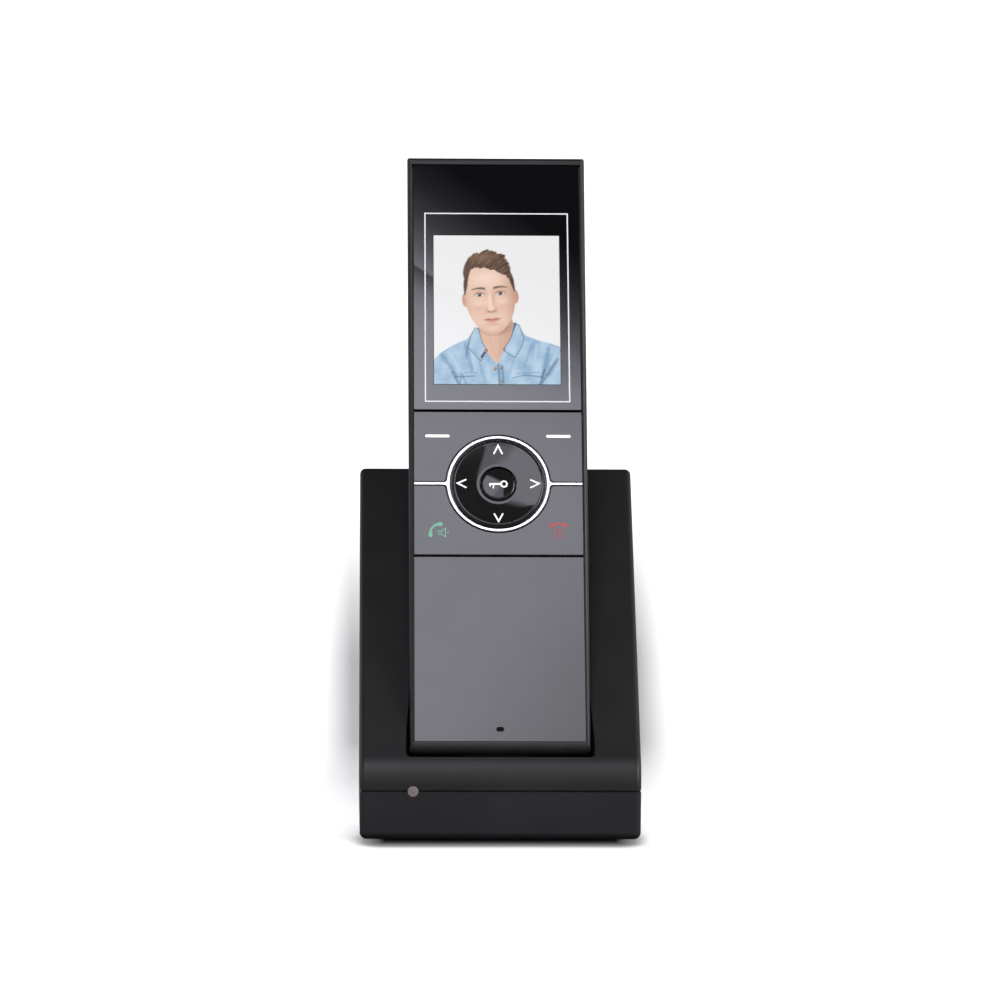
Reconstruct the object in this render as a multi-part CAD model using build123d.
from build123d import *

import os
from math import cos, radians, sin, tan

# Video intercom monitor: a cordless bar handset standing in its desk charging dock.
# Millimetres. The finished model has its origin on the table under the middle of its box.
# The handset is drawn in its own frame: X across, Y along it from its lower end, Z out of its front.
# The dock is drawn in the dock frame: X across, Y back from its front face, Z up from the table.

# Handset, outside
HANDSET_LENGTH = 176.0
HANDSET_THICK = 18.0
HALF_WIDTH_TOP = 25.1
HALF_WIDTH_END = 24.6
SIDE_DRAFT = 14.0           # degrees that each side leans in towards the back
OUTLINE_CORNER = 2.0        # rounding of the two top corners, seen from the front
END_CORNER = 1.3            # the same at the lower end
OUTLINE_SLACK = 0.04        # keeps the outline cut just outside the drafted sides
FRONT_EDGE = 1.1            # rounding of the rails' front edge
END_ROUND = 2.6             # rounding where the front turns into the lower end
BACK_ROUND = 4.0
BACK_END_ROUND = 3.0        # rounding where the back turns into the lower end
TOP_SLOPE = 3.5             # the upper end runs in by this much towards the back
END_SLOPE = 0.8             # and the lower end by this much
THROUGH = 60.0              # generous reach of cutting tools
ALL_X = (-40.0, 40.0)       # limits that hold the whole handset
ALL_Y = (-5.0, 200.0)
FAR_BACK = -30.0
FAR_FRONT = 5.0
SPLIT_Z = -7.5              # parting line between front frame and rear cover
SPLIT_GAP = 0.1
COVER_WALL = 1.6

# Handset, front panels
HALF_PANEL = 23.1
SIDE_GAP = 0.4              # between the panels and the rails
TOP_GAP = 0.2               # between the window and the top rail
CAP_GAP = 0.12              # round the end cap
HALF_SEAM = 0.3             # half of the seam between two panels
PANEL_DROP = 0.2            # panels lie this far below the rails
PANEL_THICK = 1.4
LOWER_PANEL_Y = 2.9
KEYS_Y = 56.3
WINDOW_Y = 98.95
WINDOW_TOP = 173.4
LEDGE_HALF = 21.3           # half of the clear width between the ledges
LEDGE_Z = -1.7
KEY_LEDGE_Z = -2.4          # deeper, so that the key plates can rock
DECK_THICK = 1.2
DECK_END = 4.2              # the ledges and decks start here
DECK_LOW_TOP = 55.5         # deck under the lower panel ends here
DECK_HIGH_Y = 160.0         # deck above the screen starts here
TOP_WALL = 3.6              # top wall of the front frame
EDGE_BREAK = 0.12           # chamfer round the top of each panel

# Screen
SCREEN_Y = 106.9
SCREEN_HEIGHT = 44.9
HALF_SCREEN = 17.45
CELL_FRONT = -0.25
MODULE_HALF = 20.8
MODULE_Y = 101.6
MODULE_TOP = 157.6
MODULE_Z = -1.95
MODULE_BACK = -4.3

# Keys
NAV_Y = 77.4                # centre of the navigation key
CUT_RADIUS = 14.4           # hole in the key plates round the ring
RING_OUTER = 14.07
RING_INNER = 13.25
RING_PROUD = 0.12           # the ring stands this far above the panels
KEY_THICK = 1.2             # of the key plates and the ring
PANEL_CORNER = 0.4
BAR_HALF = 0.4              # half the height of the side bars
BAR_GAP = 0.15
BAR_FILLET = 1.0            # rounding where the bars meet the ring
NAV_RADIUS = 12.65
NAV_BORE = 5.15
NAV_LIP = 5.9               # flat lip round the bore ends here
NAV_LIP_Z = -0.42
NAV_RIM = 11.7              # the dish rises from the lip to this radius
NAV_RIM_Z = 0.2
NAV_UNDER_Z = -1.75
CENTRE_RADIUS = 4.85
CENTRE_DOME = 30.0          # radius of the domed top
CENTRE_ROUND = 0.9          # rolled edge of the centre key
STEM_RADIUS = 1.6
STEM_END_Z = -2.5
NAV_SAG = 0.08              # depth of the dish below a straight slope
NAV_SIDE_Z = -0.4           # the rolled rim starts here
WEB_OUTER = 11.0
WEB_INNER = 7.6
WEB_Z = -2.2
WEB_THICK = 0.5
NUB_RADIUS = 0.35
NUB_AT = 9.3
MAT_Z = -3.0
MAT_THICK = 0.6
MAT_HALF = 20.3
MAT_YS = (58.0, 97.4)
MAT_PAD_RADIUS = 2.2
MAT_PAD_HEIGHT = 1.0
DOME_AT = 9.0               # from the middle of the navigation key to its four domes
KEY_X = 16.6
SOFT_KEY_Y = 91.4
CALL_KEY_Y = 64.2
DOME_RADIUS = 2.0
DOME_HEIGHT = 0.3

# Handset, inside
BOARD_TOP = -4.5
BOARD_THICK = 1.0
BOARD_HALF = 20.0
BOARD_Y = 9.5
BOARD_END = 159.0
BOSS_RADIUS = 2.3
BOSS_X = 14.0
BOSS_YS = (14.0, 49.0, 166.0)
SCREW_SHANK = 0.85
SCREW_HEAD = 1.8
SCREW_SEAT = 3.2            # the screw heads sit this far in from the back
SCREW_HEAD_THICK = 1.2
SCREW_BITE = 3.2            # the shank runs this far into the front frame
THREAD_GAP = 0.03
DRIVE_REACH = 1.2           # half length of the cross recess
DRIVE_HALF = 0.2
MIC_Y = 6.4
MIC_RADIUS = 1.9
MIC_BACK = -4.2
MIC_SLOT_REACH = 0.95
MIC_SLOT_HALF = 0.57
EARPIECE_HALF = 6.8
EARPIECE_YS = (163.7, 168.3)
EARPIECE_BACK = -4.4
EARPIECE_ROUND = 2.0
EARPIECE_GAP = 0.2
PART_GAP = 0.1              # usual clearance between a part and its seat
CLOSE_GAP = 0.05
SKIN = 0.5                  # inner features start this far under the outer surface
BATTERY_HALF = 15.6
BATTERY_Y = 104.5
BATTERY_LENGTH = 50.0
BATTERY_BACK = -16.25
BATTERY_FRONT = -11.2
DOOR_HALF = 16.6
DOOR_Y = 102.0
DOOR_LENGTH = 55.0
DOOR_THICK = 1.5
DOOR_GAP = 0.15
DOOR_ROUND = 1.85
GRIP_RIBS = 5
GRIP_PITCH = 2.2
GRIP_START = 6.0            # first rib, measured down from the door's upper edge
GRIP_REACH = 7.5
GRIP_DEEP = 0.4
WELL_WALL = 1.0
WELL_GAP = 0.3
PACK_ROUND = 2.2
CONTACT_X = 4.0
CONTACT_YS = (106.2, 108.8)
BLADE_THICK = 0.4
SPEAKER_Y = 82.0
SPEAKER_RADIUS = 10.0
SPEAKER_SLOTS = 7
SLOT_PITCH = 2.4
SLOT_HALF = 0.5
SLOT_ROUND = 0.45
SLOT_MARGIN = 1.2
SLEEVE_TOP = -14.0
CHARGE_X = 5.0
CHARGE_Z = -10.5
PAD_HALF_X = 2.0
PAD_HALF_Z = 1.5
PAD_THICK = 1.7

# Dock, outside
DOCK_HALF = 37.7
PLATE_LEAN = 44.0           # degrees from the vertical
PLATE_LENGTH = 97.15
FOLD_RADIUS = 10.0
FRONT_HEIGHT = 15.7         # the fold starts here
SEAM_Z = 13.75
SEAM_GAP = 0.15
SEAM_CHAMFER = 0.35
DOCK_DEPTH = 76.0
TOP_LAND = 3.5
DOCK_WALL = 2.2
DOCK_CORNER = 1.6
CREST_ROUND = 1.9           # front and rear rounding of the narrow land at the top
LAND_ROUND = 1.6
LAND_DROP = 0.6
REAR_SHOULDER = 18.0        # height of the shoulder above the seam
REAR_ROUND = 12.0
BASE_BOTTOM = 0.6
BASE_ROUND = 1.9
BASE_FLOOR = 1.8

# How the handset stands in the dock
HANDSET_LEAN = 28.6         # degrees from the vertical
CROSS_ABOVE_FOLD = 4.7      # the two front planes cross here, measured up the plate
CROSS_ABOVE_END = 2.5       # and here, measured up the handset
POCKET_CLEAR = 0.35
POCKET_END_CLEAR = 2.0
POCKET_WALL = 1.8
POCKET_WALL_FOOT = 2.0      # the pocket's walls are cut off this high above the table
POCKET_TOP = 130.0          # the pocket tool runs on well past the plate
POCKET_CORNER = 1.4         # rounding of the pocket's lower corners

# Dock, inside
HOUSING_COLUMN = 3.0        # radius of the screw columns in the upper housing
HOUSING_COLUMN_FOOT = 8.5
HOUSING_HOLE = 1.5
HOUSING_HOLE_TOP = 18.0
TRAY_COLUMN = 3.2
TRAY_COLUMN_TOP = 8.3
TRAY_HOLE = 1.7
TRAY_SINK = 2.9
TRAY_SINK_TOP = 4.2
FOOT_BOSS_TOP = 3.2
FOOT_SEAT = 1.5
BLOCK_HALF = 9.9            # contact block under the handset's end
BLOCK_YS = (-8.5, -0.05)
BLOCK_ZS = (-13.9, -7.1)
BLOCK_FLANGE_HALF = 12.5
BLOCK_FLANGE_YS = (-6.0, -4.0)
BLOCK_FLANGE_ZS = (-14.5, -6.5)
BLOCK_GAP = 0.2
PIN_RADIUS = 0.7
PIN_LENGTH = 5.0
PIN_TIP_GAP = 0.02
PIN_TIP_ROUND = 0.45
BARREL_OUTER = 1.1
BARREL_INNER = 0.75
BARREL_YS = (-9.5, -0.7)
BARREL_FLOOR = 0.5
BORE_GAP = 0.02
LIGHT_X = -23.45
LIGHT_RADIUS = 1.5
LIGHT_END = 7.0
LIGHT_EDGE = 0.35
LED_RADIUS = 1.4
LED_YS = (7.2, 10.2)
LED_FLANGE_RADIUS = 1.7
LED_FLANGE_END = 11.2
LED_LEG_X = 0.9
LED_LEG_HALF = 0.25
DOCK_BOARD_XS = (-27.0, 17.0)
DOCK_BOARD_YS = (6.0, 27.0)
DOCK_BOARD_ZS = (5.3, 6.9)
PILLAR_XS = (-20.0, 12.0)
PILLAR_Y = 16.0
PILLAR_RADIUS = 2.0
BALLAST_XS = (-26.0, 14.0)
BALLAST_YS = (30.0, 66.0)
BALLAST_THICK = 4.95
FOOT_HEIGHT = 1.45
FOOT_EDGE = 0.3
FOOT_X = 31.0
FOOT_RADIUS = 3.6
FOOT_YS = (7.5, 67.5)
DOCK_SCREW_X = 32.0
DOCK_SCREW_YS = (18.0, 56.0)
INLET_X = 20.0
INLET_Z = 7.4
INLET_BORE = 2.9
INLET_PIN = 1.0
INLET_COLLAR = 3.3
INLET_OPENING = 3.4
INLET_BODY_HALF = 4.5
INLET_BODY_DEPTH = 12.0
INLET_BODY_FOOT = 2.5
INLET_BORE_DEPTH = 9.0
DOCK_SCREW_SHANK = 1.4
DOCK_SCREW_HEAD = 2.7
DOCK_SCREW_ZS = (2.6, 16.5)
DOCK_SCREW_SEAT = 4.15
DOCK_DRIVE_REACH = 1.7
DOCK_DRIVE_HALF = 0.3
DOCK_DRIVE_TOP = 3.4


# Helpers

def profile(corners):
    """Flat face from (x, y, corner radius) triples."""
    points = [(x, y) for x, y, _ in corners]
    return make_face(FilletPolyline(*points, radius=[r for _, _, r in corners], close=True))


def block(xs, ys, zs):
    """Box between pairs of limits."""
    size = [high - low for low, high in (xs, ys, zs)]
    middle = [(high + low) / 2 for low, high in (xs, ys, zs)]
    return Pos(*middle) * Box(*size)


def post(radius, x, y, zs):
    """Round bar along Z."""
    return Pos(x, y, min(zs)) * extrude(Circle(radius), amount=abs(zs[1] - zs[0]))


def rod(radius, x, z, ys):
    """Round bar along Y."""
    bar = extrude(Circle(radius), amount=abs(ys[1] - ys[0]))
    return Pos(x, min(ys), z) * Rot(-90, 0, 0) * bar


def rounded_plate(xs, ys, zs, radius):
    """Plate with four rounded corners, lying across Z."""
    width = xs[1] - xs[0]
    length = ys[1] - ys[0]
    plate = extrude(RectangleRounded(width, length, radius), amount=zs[1] - zs[0])
    return Pos((xs[0] + xs[1]) / 2, (ys[0] + ys[1]) / 2, zs[0]) * plate


def tube(outer, inner, x, y, zs):
    """Round sleeve along Z."""
    return post(outer, x, y, zs) - post(inner, x, y, (zs[0] - 1, zs[1] + 1))


def eased(plate):
    """Plate with a small chamfer round every edge of its top face."""
    return chamfer(plate.faces().sort_by(Axis.Z)[-1].edges(), EDGE_BREAK)


def upright_edges_near(shape, x, y, reach):
    """Edges along Z whose middle is within reach of (x, y) or of its mirror image across X."""
    return [
        edge for edge in shape.edges().filter_by(Axis.Z)
        if abs(abs(edge.center().X) - x) < reach and abs(edge.center().Y - y) < reach
    ]


def both_sides(shape):
    """The shape with its mirror image across X."""
    return shape + mirror(shape, Plane.YZ)


def grown(face, amount):
    """Face offset outwards, or inwards where the amount is negative."""
    return offset(face, amount=amount, kind=Kind.INTERSECTION) if amount else face


# Handset

def handset_section(half_width, grow, front_edge):
    """Drafted section across the handset, grown or shrunk all round."""
    draft = radians(SIDE_DRAFT)
    front = grow
    back = -HANDSET_THICK - grow
    half_front = half_width + grow / cos(draft) + front * tan(draft)
    half_back = half_width + grow / cos(draft) + back * tan(draft)
    back_round = max(BACK_ROUND + grow, 0.5)
    return profile([
        (-half_front, front, front_edge),
        (half_front, front, front_edge),
        (half_back, back, back_round),
        (-half_back, back, back_round),
    ])


def handset_across(grow, ys):
    """Widest section of the handset, run along Y."""
    section = handset_section(HALF_WIDTH_TOP, grow, 0.0)
    run = extrude(Plane.XZ * section, amount=-(ys[1] - ys[0]))
    return Pos(0, ys[0], 0) * run


def half_width_at(y):
    """Half of the handset's width, which grows slightly from its lower end to its top."""
    return HALF_WIDTH_END + (HALF_WIDTH_TOP - HALF_WIDTH_END) * y / HANDSET_LENGTH


def handset_body(grow=0.0):
    """Outer form of the closed handset, or the same form grown or shrunk all round."""
    edge = FRONT_EDGE if grow == 0 else 0.0
    ends = (-5.0, HANDSET_LENGTH + 5.0)
    sections = [
        Plane.XZ.offset(-y) * handset_section(half_width_at(y), grow, edge) for y in ends
    ]
    side = profile([
        (0, 0, END_ROUND),
        (HANDSET_LENGTH, 0, FRONT_EDGE),
        (HANDSET_LENGTH - TOP_SLOPE, -HANDSET_THICK, BACK_ROUND),
        (END_SLOPE, -HANDSET_THICK, BACK_END_ROUND),
    ])
    body = loft(sections, ruled=True)
    if grow:
        side = offset(side, amount=grow, kind=Kind.INTERSECTION)
        return body & extrude(Plane.YZ * side, amount=2 * HALF_WIDTH_TOP, both=True)
    body &= extrude(Plane.YZ * side, amount=2 * HALF_WIDTH_TOP, both=True)
    low = HALF_WIDTH_END + OUTLINE_SLACK
    high = HALF_WIDTH_TOP + OUTLINE_SLACK
    outline = profile([
        (-low, 0, END_CORNER),
        (low, 0, END_CORNER),
        (high, HANDSET_LENGTH, OUTLINE_CORNER),
        (-high, HANDSET_LENGTH, OUTLINE_CORNER),
    ])
    return body & extrude(outline, amount=2 * HANDSET_THICK, both=True)


def front_frame(body):
    """Inverted-U front frame: rails, ledges, decks and screw bosses."""
    frame = body & block(ALL_X, ALL_Y, (SPLIT_Z, FAR_FRONT))
    panel_half = HALF_PANEL + SIDE_GAP
    frame -= block((-panel_half, panel_half), (ALL_Y[0], WINDOW_TOP + TOP_GAP), (LEDGE_Z, FAR_FRONT))
    frame -= block((-panel_half, panel_half), (ALL_Y[0], LOWER_PANEL_Y), (SPLIT_Z - 1, FAR_FRONT))
    frame -= block((-panel_half, panel_half), (KEYS_Y, WINDOW_Y), (KEY_LEDGE_Z, FAR_FRONT))
    ledges = (-LEDGE_HALF, LEDGE_HALF)
    frame -= block(ledges, (DECK_END, HANDSET_LENGTH - TOP_WALL), (SPLIT_Z - 1, FAR_FRONT))
    deck_z = (LEDGE_Z - DECK_THICK, LEDGE_Z)
    frame += block(ledges, (DECK_END, DECK_LOW_TOP), deck_z)
    frame += block(ledges, (DECK_HIGH_Y, HANDSET_LENGTH - TOP_WALL), deck_z)
    for y in BOSS_YS:
        frame += both_sides(post(BOSS_RADIUS, BOSS_X, y, (SPLIT_Z - 1.5, LEDGE_Z)))
        frame -= both_sides(post(SCREW_SHANK + THREAD_GAP, BOSS_X, y, (SPLIT_Z - 2, LEDGE_Z - 1)))
    frame -= post(MIC_RADIUS + PART_GAP, 0, MIC_Y, (FAR_BACK, FAR_FRONT))
    half = EARPIECE_HALF + EARPIECE_GAP
    ys = (EARPIECE_YS[0] - EARPIECE_GAP, EARPIECE_YS[1] + EARPIECE_GAP)
    frame -= rounded_plate((-half, half), ys, (SPLIT_Z, FAR_FRONT), EARPIECE_ROUND)
    return frame


def end_cap(body):
    """Rounded closing piece between the rails at the lower end."""
    half = HALF_PANEL + SIDE_GAP - CAP_GAP
    return body & block((-half, half), (ALL_Y[0], LOWER_PANEL_Y - CAP_GAP), (SPLIT_Z + SPLIT_GAP, FAR_FRONT))


def rear_cover():
    """Rear cover with battery well, screw columns and loudspeaker slots."""
    behind = block(ALL_X, ALL_Y, (FAR_BACK, SPLIT_Z - SPLIT_GAP))
    cover = (handset_body() - handset_body(-COVER_WALL)) & behind
    floor_z = (BATTERY_FRONT + 2 * PART_GAP, BATTERY_FRONT + 2 * PART_GAP + WELL_WALL)
    well_x = BATTERY_HALF + WELL_GAP
    well_y = (BATTERY_Y - WELL_GAP, BATTERY_Y + BATTERY_LENGTH + WELL_GAP)
    well = block(
        (-well_x - WELL_WALL, well_x + WELL_WALL), (well_y[0] - WELL_WALL, well_y[1] + WELL_WALL),
        (SKIN - HANDSET_THICK, floor_z[1]),
    )
    cover += well & handset_body(-SKIN)
    cover -= block((-well_x, well_x), well_y, (FAR_BACK, floor_z[0]))
    door_x = DOOR_HALF + DOOR_GAP
    door_y = (DOOR_Y - DOOR_GAP, DOOR_Y + DOOR_LENGTH + DOOR_GAP)
    cover -= rounded_plate(
        (-door_x, door_x), door_y, (FAR_BACK, DOOR_THICK - HANDSET_THICK), DOOR_ROUND + DOOR_GAP
    )
    slot = (CONTACT_YS[0] - 4 * PART_GAP, CONTACT_YS[1] + 4 * PART_GAP)
    for x in (-CONTACT_X, CONTACT_X):
        cover -= block((x - SKIN, x + SKIN), slot, (floor_z[0] - 1, floor_z[1] + 1))
    for y in BOSS_YS:
        column = post(BOSS_RADIUS, BOSS_X, y, (SKIN - HANDSET_THICK, SPLIT_Z - 1.6))
        hole = post(SCREW_SHANK + PART_GAP, BOSS_X, y, (FAR_BACK, 0))
        sink = post(SCREW_HEAD + 2 * PART_GAP, BOSS_X, y, (FAR_BACK, SCREW_SEAT - HANDSET_THICK))
        cover = cover + both_sides(column) - both_sides(hole) - both_sides(sink)
    for step in range(-SPEAKER_SLOTS // 2 + 1, SPEAKER_SLOTS // 2 + 1):
        across = SLOT_PITCH * step
        reach = (SPEAKER_RADIUS**2 - across**2) ** 0.5 - SLOT_MARGIN
        y = SPEAKER_Y + across
        slot_z = (-HANDSET_THICK - 1, -HANDSET_THICK + 3)
        cover -= rounded_plate((-reach, reach), (y - SLOT_HALF, y + SLOT_HALF), slot_z, SLOT_ROUND)
    sleeve = SPEAKER_RADIUS + PART_GAP
    cover += tube(sleeve + 1, sleeve, 0, SPEAKER_Y, (1 - HANDSET_THICK, SLEEVE_TOP))
    half_x = PAD_HALF_X + PART_GAP
    half_z = PAD_HALF_Z + PART_GAP
    for x in (-CHARGE_X, CHARGE_X):
        cover -= block((x - half_x, x + half_x), (-1, 4), (CHARGE_Z - half_z, CHARGE_Z + half_z))
    return cover


def battery_door():
    """Flush battery door with a row of grip grooves."""
    ys = (DOOR_Y, DOOR_Y + DOOR_LENGTH)
    back = -HANDSET_THICK
    door = rounded_plate((-DOOR_HALF, DOOR_HALF), ys, (back, back + DOOR_THICK), DOOR_ROUND)
    for step in range(GRIP_RIBS):
        y = ys[1] - GRIP_START - GRIP_PITCH * step
        reach = GRIP_REACH - 0.9 * step
        groove_y = (y - SLOT_HALF, y + SLOT_HALF)
        door -= rounded_plate((-reach, reach), groove_y, (back - 1, back + GRIP_DEEP), SLOT_ROUND)
    return door


def battery_pack():
    """Flat rechargeable cell pack."""
    ys = (BATTERY_Y, BATTERY_Y + BATTERY_LENGTH)
    pack = block((-BATTERY_HALF, BATTERY_HALF), ys, (BATTERY_BACK, BATTERY_FRONT))
    return fillet(pack.edges().filter_by(Axis.Y), PACK_ROUND)


def battery_contacts():
    """Two blade springs that stand from the main board to the pack."""
    board_back = BOARD_TOP - BOARD_THICK
    outer = CONTACT_X + BLADE_THICK / 2
    foot = block((outer - 1.8, outer), CONTACT_YS, (board_back - BLADE_THICK, board_back))
    blade = block((outer - BLADE_THICK, outer), CONTACT_YS, (BATTERY_FRONT + CLOSE_GAP, board_back))
    return both_sides(foot + blade)


def display_window():
    """Gloss window panel with the screen opening."""
    ys = (WINDOW_Y + HALF_SEAM, WINDOW_TOP)
    zs = (-PANEL_DROP - PANEL_THICK, -PANEL_DROP)
    window = rounded_plate((-HALF_PANEL, HALF_PANEL), ys, zs, 0.5)
    half = HALF_SCREEN + CLOSE_GAP
    screen_y = (SCREEN_Y - CLOSE_GAP, SCREEN_Y + SCREEN_HEIGHT + CLOSE_GAP)
    opening = block((-half, half), screen_y, (SPLIT_Z, FAR_FRONT))
    return eased(window - opening)


def screen_cell():
    """Glass cell: a raised active area on the cell's full plate."""
    ys = (SCREEN_Y, SCREEN_Y + SCREEN_HEIGHT)
    raised = block((-HALF_SCREEN, HALF_SCREEN), ys, (MODULE_Z - 0.05, CELL_FRONT))
    plate_y = (MODULE_Y + 0.4, MODULE_TOP - 0.4)
    plate = block((-MODULE_HALF + 0.9, MODULE_HALF - 0.9), plate_y, (MODULE_Z - 1.0, MODULE_Z))
    return raised + plate


def backlight_frame():
    """Moulded tray with the light guide, behind the cell."""
    ys = (MODULE_Y, MODULE_TOP)
    tray = block((-MODULE_HALF, MODULE_HALF), ys, (MODULE_BACK, MODULE_Z))
    seat_half = MODULE_HALF - 0.85
    seat = block((-seat_half, seat_half), (ys[0] + 0.35, ys[1] - 0.35), (MODULE_Z - 1.05, 0))
    return tray - seat


def display_gasket():
    """Foam ring between window and screen."""
    zs = (MODULE_Z + 0.02, -PANEL_DROP - PANEL_THICK - 0.02)
    ring = block((-20.5, 20.5), (102.6, 156.6), zs)
    return ring - block((-18.4, 18.4), (105.6, 153.4), (-5, 5))


def flex_cable():
    """Flat cable from the screen's lower edge down to the main board."""
    thick = 0.15
    tab = block((-6, 6), (99.6, MODULE_Y), (-3.6, -3.6 + thick))
    drop = block((-6, 6), (99.6, 99.6 + thick), (BOARD_TOP, -3.6 + thick))
    return tab + drop


def key_plate(ys):
    """Key plate with the half-round cut for the ring."""
    zs = (-PANEL_DROP - KEY_THICK, -PANEL_DROP)
    plate = rounded_plate((-HALF_PANEL, HALF_PANEL), ys, zs, PANEL_CORNER)
    plate -= post(CUT_RADIUS, 0, NAV_Y, (SPLIT_Z, FAR_FRONT))
    tips = upright_edges_near(plate, CUT_RADIUS, NAV_Y, 1.0)
    return eased(fillet(tips, BAR_FILLET + BAR_GAP))


def ring_trim():
    """Ring round the navigation key with two side bars that stand on the frame's ledges."""
    top = -PANEL_DROP + RING_PROUD
    low = -PANEL_DROP - KEY_THICK
    trim = post(RING_OUTER, 0, NAV_Y, (low, top))
    trim += block((-HALF_PANEL, HALF_PANEL), (NAV_Y - BAR_HALF, NAV_Y + BAR_HALF), (low, top))
    trim = fillet(upright_edges_near(trim, RING_OUTER, NAV_Y, 1.0), BAR_FILLET)
    trim -= post(RING_INNER, 0, NAV_Y, (SPLIT_Z, FAR_FRONT))
    trim = eased(trim)
    foot_x = (LEDGE_HALF + 3 * PART_GAP, HALF_PANEL)
    foot = block(foot_x, (NAV_Y - BAR_HALF, NAV_Y + BAR_HALF), (KEY_LEDGE_Z, low))
    return trim + both_sides(foot)


def nav_key():
    """Navigation key: a ring that rises outwards in a shallow dish, with a rolled rim."""
    middle = (NAV_LIP + NAV_RIM) / 2
    middle_z = (NAV_LIP_Z + NAV_RIM_Z) / 2 - NAV_SAG
    section = make_face([
        Polyline(
            (NAV_LIP, NAV_LIP_Z), (NAV_BORE, NAV_LIP_Z), (NAV_BORE, NAV_UNDER_Z),
            (NAV_RADIUS, NAV_UNDER_Z), (NAV_RADIUS, NAV_SIDE_Z),
        ),
        ThreePointArc(
            (NAV_RADIUS, NAV_SIDE_Z), (NAV_RADIUS - 0.3, NAV_RIM_Z - 0.13), (NAV_RIM, NAV_RIM_Z)
        ),
        ThreePointArc((NAV_RIM, NAV_RIM_Z), (middle, middle_z), (NAV_LIP, NAV_LIP_Z)),
    ])
    return Pos(0, NAV_Y, 0) * revolve(Plane.XZ * section, Axis.Z)


def nav_web():
    """Gimbal web: the key rocks up and down on its side nubs, and it rocks sideways on its own."""
    ring = tube(WEB_OUTER, WEB_INNER, 0, NAV_Y, (WEB_Z - WEB_THICK, WEB_Z))
    for side in (-1, 1):
        ring += post(NUB_RADIUS, side * NUB_AT, NAV_Y, (WEB_Z, NAV_UNDER_Z - 0.02))
        ring += post(NUB_RADIUS, 0, NAV_Y + side * NUB_AT, (MAT_Z + 0.02, WEB_Z - WEB_THICK))
    return ring


def centre_key():
    """Round key in the middle, with a domed top, a rolled edge and a stem."""
    edge = CENTRE_RADIUS - CENTRE_ROUND
    edge_z = -edge**2 / (2 * CENTRE_DOME)
    section = make_face([
        ThreePointArc((0, 0), (edge / 2, edge_z / 4), (edge, edge_z)),
        ThreePointArc(
            (edge, edge_z),
            (edge + 0.72 * CENTRE_ROUND, edge_z - 0.33 * CENTRE_ROUND),
            (CENTRE_RADIUS, edge_z - CENTRE_ROUND),
        ),
        Polyline(
            (CENTRE_RADIUS, edge_z - CENTRE_ROUND), (CENTRE_RADIUS, NAV_UNDER_Z),
            (0, NAV_UNDER_Z), (0, 0),
        ),
    ])
    key = revolve(Plane.XZ * section, Axis.Z)
    key += post(STEM_RADIUS, 0, 0, (STEM_END_Z, NAV_UNDER_Z))
    return Pos(0, NAV_Y, 0) * key


def keypad_mat():
    """Silicone mat with a raised pad under each corner key."""
    mat = rounded_plate((-MAT_HALF, MAT_HALF), MAT_YS, (MAT_Z - MAT_THICK, MAT_Z), 1.5)
    for y in (SOFT_KEY_Y, CALL_KEY_Y):
        mat += both_sides(post(MAT_PAD_RADIUS, KEY_X, y, (MAT_Z, MAT_Z + MAT_PAD_HEIGHT)))
    return mat


def key_places():
    """Every place that has a dome: four corners, four directions and the centre."""
    corners = [(side * KEY_X, y) for y in (SOFT_KEY_Y, CALL_KEY_Y) for side in (-1, 1)]
    directions = [(DOME_AT, 0), (-DOME_AT, 0), (0, DOME_AT), (0, -DOME_AT), (0, 0)]
    return corners + [(x, NAV_Y + y) for x, y in directions]


def key_domes():
    """Steel snap domes on the main board."""
    dome_sphere = (DOME_RADIUS**2 + DOME_HEIGHT**2) / (2 * DOME_HEIGHT)
    cap = Pos(0, 0, DOME_HEIGHT - dome_sphere) * Sphere(dome_sphere)
    cap &= block(ALL_X, ALL_X, (0, 2 * DOME_HEIGHT))
    return Compound([Pos(x, y, BOARD_TOP + 0.01) * cap for x, y in key_places()])


def lower_panel():
    """Gloss panel over the lower third, with the microphone slot."""
    ys = (LOWER_PANEL_Y, KEYS_Y - HALF_SEAM)
    zs = (-PANEL_DROP - PANEL_THICK, -PANEL_DROP)
    panel = rounded_plate((-HALF_PANEL, HALF_PANEL), ys, zs, 0.3)
    ys = (MIC_Y - MIC_SLOT_HALF, MIC_Y + MIC_SLOT_HALF)
    slot = rounded_plate((-MIC_SLOT_REACH, MIC_SLOT_REACH), ys, (SPLIT_Z, FAR_FRONT), 0.5)
    return eased(panel - slot)


def main_board():
    """Main circuit board, holed for the screw bosses."""
    zs = (BOARD_TOP - BOARD_THICK, BOARD_TOP)
    board = rounded_plate((-BOARD_HALF, BOARD_HALF), (BOARD_Y, BOARD_END), zs, 1.0)
    for y in BOSS_YS:
        board -= both_sides(post(BOSS_RADIUS + 0.4, BOSS_X, y, (-10, 0)))
    return board


def shield_can():
    """Folded steel can over the radio parts, on the back of the board."""
    top = BOARD_TOP - BOARD_THICK
    can = block((-9, 9), (20, 42), (top - 2.2, top))
    can = fillet(can.edges().filter_by(Axis.Z), 0.8)
    return can - block((-8.7, 8.7), (20.3, 41.7), (top - 1.9, top + 1))


def antenna():
    """Bent strip antenna near the upper end, standing on the board."""
    top = BOARD_TOP - BOARD_THICK
    strip = block((-16, 8), (156.6, 158.4), (top - 1.9, top - 1.5))
    for x in (-16.0, 7.6):
        strip += block((x, x + 0.4), (156.6, 158.4), (top - 1.7, top))
    return strip


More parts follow.
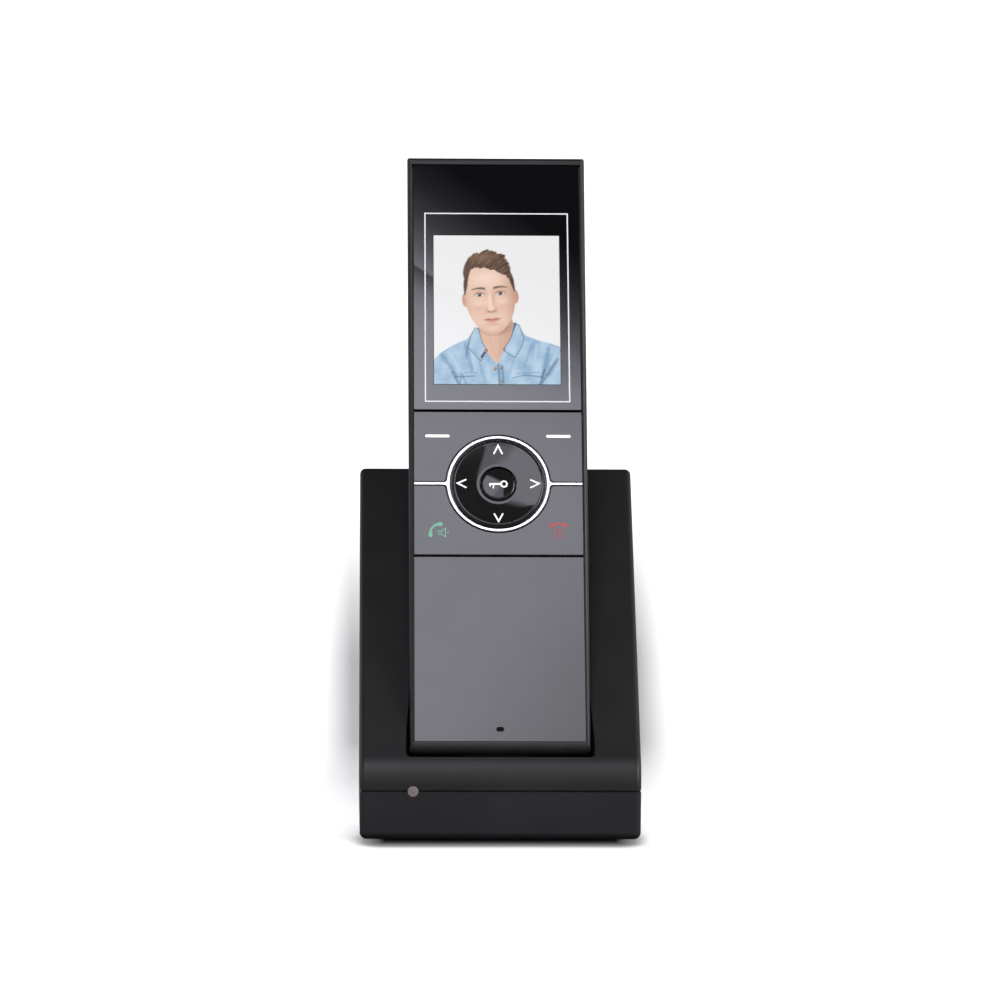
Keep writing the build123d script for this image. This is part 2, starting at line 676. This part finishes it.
def case_screws():
    """Six identical self-tapping screws from the back."""
    seat = SCREW_SEAT - HANDSET_THICK
    reach = (-DRIVE_REACH, DRIVE_REACH)
    narrow = (-DRIVE_HALF, DRIVE_HALF)
    drive_z = (seat - 2 * SCREW_HEAD_THICK, seat - SCREW_HEAD_THICK / 2)
    screw = post(SCREW_SHANK, 0, 0, (seat - SKIN, SPLIT_Z + SCREW_BITE))
    screw += post(SCREW_HEAD, 0, 0, (seat - SCREW_HEAD_THICK, seat))
    screw = screw - block(reach, narrow, drive_z) - block(narrow, reach, drive_z)
    places = [(side * BOSS_X, y) for y in BOSS_YS for side in (-1, 1)]
    return Compound([Pos(x, y, 0) * screw for x, y in places])


def microphone():
    """Microphone capsule with its rubber boot, under the slot."""
    return post(MIC_RADIUS, 0, MIC_Y, (MIC_BACK, LEDGE_Z - PART_GAP))


def earpiece():
    """Small receiver at the upper end, facing the ear."""
    return rounded_plate(
        (-EARPIECE_HALF, EARPIECE_HALF), EARPIECE_YS, (EARPIECE_BACK, LEDGE_Z - CLOSE_GAP),
        EARPIECE_ROUND - EARPIECE_GAP,
    )


def loudspeaker():
    """Hands-free loudspeaker: basket and magnet, facing the back."""
    basket = post(SPEAKER_RADIUS, 0, SPEAKER_Y, (-16.3, -13.6))
    return basket + post(5.5, 0, SPEAKER_Y, (-13.6, -11.8))


def charge_pads():
    """Two plated pads in the lower end."""
    xs = (CHARGE_X - PAD_HALF_X, CHARGE_X + PAD_HALF_X)
    pad = block(xs, (0.0, PAD_THICK), (CHARGE_Z - PAD_HALF_Z, CHARGE_Z + PAD_HALF_Z))
    return both_sides(pad)


# Dock

def dock_side(bottom):
    """Side profile of the dock above a height: front face, fold, plate, land and back."""
    lean = radians(PLATE_LEAN)
    fold_y = FOLD_RADIUS * (1 - cos(lean))
    fold_z = FRONT_HEIGHT + FOLD_RADIUS * sin(lean)
    top_y = fold_y + PLATE_LENGTH * sin(lean)
    top_z = fold_z + PLATE_LENGTH * cos(lean)
    corner_z = FRONT_HEIGHT + FOLD_RADIUS * tan(lean / 2)
    corners = [
        (0, bottom, 0),
        (0, corner_z, FOLD_RADIUS),
        (top_y, top_z, CREST_ROUND),
        (top_y + TOP_LAND, top_z - LAND_DROP, LAND_ROUND),
        (DOCK_DEPTH, SEAM_Z + REAR_SHOULDER, REAR_ROUND),
        (DOCK_DEPTH, bottom, 0),
    ]
    return profile(corners)


def dock_run(face, half):
    """Side profile run across the dock."""
    return extrude(Plane.YZ * face, amount=half, both=True)


def place_on_dock():
    """Location that takes the handset frame to the dock frame."""
    plate = radians(PLATE_LEAN)
    lean = radians(HANDSET_LEAN)
    fold_y = FOLD_RADIUS * (1 - cos(plate))
    fold_z = FRONT_HEIGHT + FOLD_RADIUS * sin(plate)
    y = fold_y + CROSS_ABOVE_FOLD * sin(plate) - CROSS_ABOVE_END * sin(lean)
    z = fold_z + CROSS_ABOVE_FOLD * cos(plate) - CROSS_ABOVE_END * cos(lean)
    return Pos(0, y, z) * Rot(90 - HANDSET_LEAN, 0, 0)


def pocket(extra, end_extra):
    """Space that the handset slides in, grown by extra at the sides and back."""
    end = -POCKET_END_CLEAR - end_extra
    run = handset_across(POCKET_CLEAR + extra, (end, POCKET_TOP))
    front = HALF_WIDTH_TOP + POCKET_CLEAR + extra
    run += block((-front, front), (end, POCKET_TOP), (-0.2, 30))
    outline = profile([
        (-front, end, POCKET_CORNER),
        (front, end, POCKET_CORNER),
        (front, POCKET_TOP, 0),
        (-front, POCKET_TOP, 0),
    ])
    return run & extrude(outline, amount=THROUGH, both=True)


def pin_hole(radius, ys):
    """Pair of round holes or bars along the handset's length, at the charge pins."""
    return rod(radius, -CHARGE_X, CHARGE_Z, ys) + rod(radius, CHARGE_X, CHARGE_Z, ys)


def upper_housing():
    """Hollow wedge with the reclined plate, the front fold and the handset pocket."""
    low = SEAM_Z + SEAM_GAP / 2
    outer = dock_run(dock_side(low), DOCK_HALF)
    side_edges = [
        edge for edge in outer.edges()
        if abs(edge.center().X) > DOCK_HALF - 0.1 and edge.center().Z > low + 0.1
    ]
    outer = fillet(side_edges, DOCK_CORNER)
    outer = chamfer(outer.faces().sort_by(Axis.Z)[0].edges(), SEAM_CHAMFER)
    inner_side = grown(dock_side(SEAM_Z - 20), -DOCK_WALL)
    inner = dock_run(inner_side, DOCK_HALF - DOCK_WALL)
    housing = outer - inner
    place = place_on_dock()
    walls = place * pocket(POCKET_WALL, POCKET_WALL)
    housing += walls & dock_run(dock_side(POCKET_WALL_FOOT), DOCK_HALF - 1)
    for x in (-DOCK_SCREW_X, DOCK_SCREW_X):
        for y in DOCK_SCREW_YS:
            column = post(HOUSING_COLUMN, x, y, (HOUSING_COLUMN_FOOT, 2 * THROUGH))
            housing += column & dock_run(dock_side(0.0), DOCK_HALF - SKIN)
    housing -= place * pocket(0.0, 0.0)
    for x in (-DOCK_SCREW_X, DOCK_SCREW_X):
        for y in DOCK_SCREW_YS:
            housing -= post(HOUSING_HOLE, x, y, (0, HOUSING_HOLE_TOP))
    half = BLOCK_HALF + BLOCK_GAP
    opening_z = (BLOCK_ZS[0] - BLOCK_GAP, BLOCK_ZS[1] + BLOCK_GAP)
    housing -= place * block((-half, half), (-12, 0), opening_z)
    housing -= rod(LIGHT_RADIUS + CLOSE_GAP, LIGHT_X, SEAM_Z, (-1, 4))
    return housing


def base_tray():
    """Lower base with floor, lip, screw columns, foot recesses and inlet opening."""
    top = SEAM_Z - SEAM_GAP / 2
    plan = RectangleRounded(2 * DOCK_HALF, DOCK_DEPTH, DOCK_CORNER)
    tray = Pos(0, DOCK_DEPTH / 2, BASE_BOTTOM) * extrude(plan, amount=top - BASE_BOTTOM)
    tray = fillet(tray.faces().sort_by(Axis.Z)[0].edges(), BASE_ROUND)
    tray = chamfer(tray.faces().sort_by(Axis.Z)[-1].edges(), SEAM_CHAMFER)
    room = DOCK_WALL
    inside = RectangleRounded(2 * (DOCK_HALF - room), DOCK_DEPTH - 2 * room, 1.0)
    tray -= Pos(0, DOCK_DEPTH / 2, BASE_BOTTOM + BASE_FLOOR) * extrude(inside, amount=40)
    for x in (-DOCK_SCREW_X, DOCK_SCREW_X):
        for y in DOCK_SCREW_YS:
            tray += post(TRAY_COLUMN, x, y, (BASE_BOTTOM + SKIN, TRAY_COLUMN_TOP))
            tray -= post(TRAY_HOLE, x, y, (-1, THROUGH))
            tray -= post(TRAY_SINK, x, y, (-1, TRAY_SINK_TOP))
    for x in (-FOOT_X, FOOT_X):
        for y in FOOT_YS:
            tray += post(FOOT_RADIUS + 1.2, x, y, (BASE_BOTTOM, FOOT_BOSS_TOP)) & tray_limits()
            tray -= post(FOOT_RADIUS + PART_GAP, x, y, (-1, FOOT_SEAT))
    tray -= rod(LIGHT_RADIUS + CLOSE_GAP, LIGHT_X, SEAM_Z, (-1, 4))
    tray -= rod(INLET_OPENING, INLET_X, INLET_Z, (DOCK_DEPTH - 4, DOCK_DEPTH + 4))
    return tray


def tray_limits():
    """Block that keeps floor pads inside the tray's walls."""
    wall = DOCK_WALL / 2
    return block((-DOCK_HALF + wall, DOCK_HALF - wall), (wall, DOCK_DEPTH - wall), (0, 20))


def contact_block():
    """Insulating block under the handset's end, in the handset frame."""
    body = block((-BLOCK_HALF, BLOCK_HALF), BLOCK_YS, BLOCK_ZS)
    body += block((-BLOCK_FLANGE_HALF, BLOCK_FLANGE_HALF), BLOCK_FLANGE_YS, BLOCK_FLANGE_ZS)
    body -= pin_hole(BARREL_OUTER + BORE_GAP, (-10, BARREL_YS[1] + BLOCK_GAP))
    return body - pin_hole(PIN_RADIUS + CLOSE_GAP, (-1, 1))


def pin_barrels():
    """Two sleeves that the charge pins run in."""
    barrel = rod(BARREL_OUTER, CHARGE_X, CHARGE_Z, BARREL_YS)
    barrel -= rod(BARREL_INNER, CHARGE_X, CHARGE_Z, (BARREL_YS[0] + BARREL_FLOOR, 0))
    return both_sides(barrel)


def charge_pin(side):
    """Sprung pin with a round tip just under the handset's charge pad."""
    pin = rod(PIN_RADIUS, side * CHARGE_X, CHARGE_Z, (-PIN_LENGTH, -PIN_TIP_GAP))
    return fillet(pin.edges().filter_by(GeomType.CIRCLE).sort_by(Axis.Y)[-1], PIN_TIP_ROUND)


def light_pipe():
    """Clear rod that shows the status light on the seam."""
    pipe = rod(LIGHT_RADIUS, LIGHT_X, SEAM_Z, (-PART_GAP, LIGHT_END))
    return fillet(pipe.edges().filter_by(GeomType.CIRCLE).sort_by(Axis.Y)[0], LIGHT_EDGE)


def status_led():
    """Side-facing light-emitting diode behind the pipe, with its two legs."""
    led = rod(LED_RADIUS, LIGHT_X, SEAM_Z, LED_YS)
    led += rod(LED_FLANGE_RADIUS, LIGHT_X, SEAM_Z, (LED_YS[1], LED_FLANGE_END))
    leg_y = (LED_FLANGE_END - PART_GAP - 2 * LED_LEG_HALF, LED_FLANGE_END - PART_GAP)
    for x in (LIGHT_X - LED_LEG_X, LIGHT_X + LED_LEG_X):
        led += block((x - LED_LEG_HALF, x + LED_LEG_HALF), leg_y, (DOCK_BOARD_ZS[1], SEAM_Z))
    return led


def dock_board():
    """Charging circuit board in the front of the base."""
    return rounded_plate(DOCK_BOARD_XS, DOCK_BOARD_YS, DOCK_BOARD_ZS, 1.0)


def board_pillars():
    """Two pillars moulded on the base tray, which carry the dock board."""
    zs = (BASE_BOTTOM + 0.9, DOCK_BOARD_ZS[0])
    return post(PILLAR_RADIUS, PILLAR_XS[0], PILLAR_Y, zs) + post(PILLAR_RADIUS, PILLAR_XS[1], PILLAR_Y, zs)


def dc_inlet():
    """Round low-voltage inlet with its centre pin, at the back of the base."""
    back = DOCK_DEPTH - DOCK_WALL
    xs = (INLET_X - INLET_BODY_HALF, INLET_X + INLET_BODY_HALF)
    ys = (back - INLET_BODY_DEPTH, back - CLOSE_GAP)
    body = block(xs, ys, (INLET_BODY_FOOT, INLET_Z + INLET_BODY_HALF))
    body += rod(INLET_COLLAR, INLET_X, INLET_Z, (back - 1, DOCK_DEPTH - 0.4))
    body -= rod(INLET_BORE, INLET_X, INLET_Z, (back - INLET_BORE_DEPTH, DOCK_DEPTH + 1))
    return body + rod(INLET_PIN, INLET_X, INLET_Z, (back - INLET_BORE_DEPTH - 1, DOCK_DEPTH - 1.5))


def ballast_plate():
    """Steel plate on the floor that keeps the dock from tipping."""
    floor = BASE_BOTTOM + BASE_FLOOR
    zs = (floor + CLOSE_GAP, floor + CLOSE_GAP + BALLAST_THICK)
    return rounded_plate(BALLAST_XS, BALLAST_YS, zs, 2.0)


def rubber_feet():
    """Four identical stick-on feet."""
    foot = post(FOOT_RADIUS, 0, 0, (0, FOOT_HEIGHT))
    foot = fillet(foot.edges().filter_by(GeomType.CIRCLE).sort_by(Axis.Z)[0], FOOT_EDGE)
    return Compound([Pos(x, y, 0) * foot for x in (-FOOT_X, FOOT_X) for y in FOOT_YS])


def dock_screws():
    """Four identical screws from below."""
    reach = (-DOCK_DRIVE_REACH, DOCK_DRIVE_REACH)
    narrow = (-DOCK_DRIVE_HALF, DOCK_DRIVE_HALF)
    drive_z = (0, DOCK_DRIVE_TOP)
    screw = post(DOCK_SCREW_SHANK, 0, 0, (DOCK_SCREW_SEAT - 0.15, DOCK_SCREW_ZS[1]))
    screw += post(DOCK_SCREW_HEAD, 0, 0, (DOCK_SCREW_ZS[0], DOCK_SCREW_SEAT))
    screw = screw - block(reach, narrow, drive_z) - block(narrow, reach, drive_z)
    places = [(x, y) for x in (-DOCK_SCREW_X, DOCK_SCREW_X) for y in DOCK_SCREW_YS]
    return Compound([Pos(x, y, 0) * screw for x, y in places])


# Assembly

def handset_nodes():
    """Every piece drawn in the handset frame."""
    body = handset_body()
    gap = BAR_HALF + BAR_GAP
    return {
        "front_frame": front_frame(body),
        "end_cap": end_cap(body),
        "rear_cover": rear_cover(),
        "battery_door": battery_door(),
        "battery_pack": battery_pack(),
        "battery_contacts": battery_contacts(),
        "display_window": display_window(),
        "screen_cell": screen_cell(),
        "backlight_frame": backlight_frame(),
        "display_gasket": display_gasket(),
        "screen_flex_cable": flex_cable(),
        "soft_key_plate": key_plate((NAV_Y + gap, WINDOW_Y - HALF_SEAM)),
        "call_key_plate": key_plate((KEYS_Y + HALF_SEAM, NAV_Y - gap)),
        "ring_trim": ring_trim(),
        "nav_key": nav_key(),
        "nav_web": nav_web(),
        "centre_key": centre_key(),
        "keypad_mat": keypad_mat(),
        "key_domes": key_domes(),
        "lower_panel": lower_panel(),
        "main_board": main_board(),
        "radio_shield_can": shield_can(),
        "antenna_strip": antenna(),
        "microphone": microphone(),
        "earpiece": earpiece(),
        "loudspeaker": loudspeaker(),
        "charge_pads": charge_pads(),
        "case_screws": case_screws(),
        "contact_block": contact_block(),
        "charge_pin_barrels": pin_barrels(),
        "charge_pin_left": charge_pin(-1),
        "charge_pin_right": charge_pin(1),
    }


def dock_nodes():
    """Every piece drawn in the dock frame."""
    return {
        "upper_housing": upper_housing(),
        "base_tray": base_tray() + board_pillars(),
        "status_light_pipe": light_pipe(),
        "status_led": status_led(),
        "dock_board": dock_board(),
        "dc_inlet": dc_inlet(),
        "ballast_plate": ballast_plate(),
        "rubber_feet": rubber_feet(),
        "dock_screws": dock_screws(),
    }


def assembly():
    """All nodes in one frame, with the origin on the table under the middle of the box."""
    place = place_on_dock()
    nodes = {name: place * shape for name, shape in handset_nodes().items()}
    nodes.update(dock_nodes())
    boxes = [shape.bounding_box() for shape in nodes.values()]
    front = min(box.min.Y for box in boxes)
    rear = max(box.max.Y for box in boxes)
    shift = Pos(0, -(front + rear) / 2, 0)
    return {name: shift * shape for name, shape in nodes.items()}, shift * place


def main():
    nodes, handset_place = assembly()
    os.makedirs("parts", exist_ok=True)
    for name, shape in nodes.items():
        export_step(shape, f"parts/{name}.step")
    return nodes, handset_place


if __name__ == "__main__":
    main()
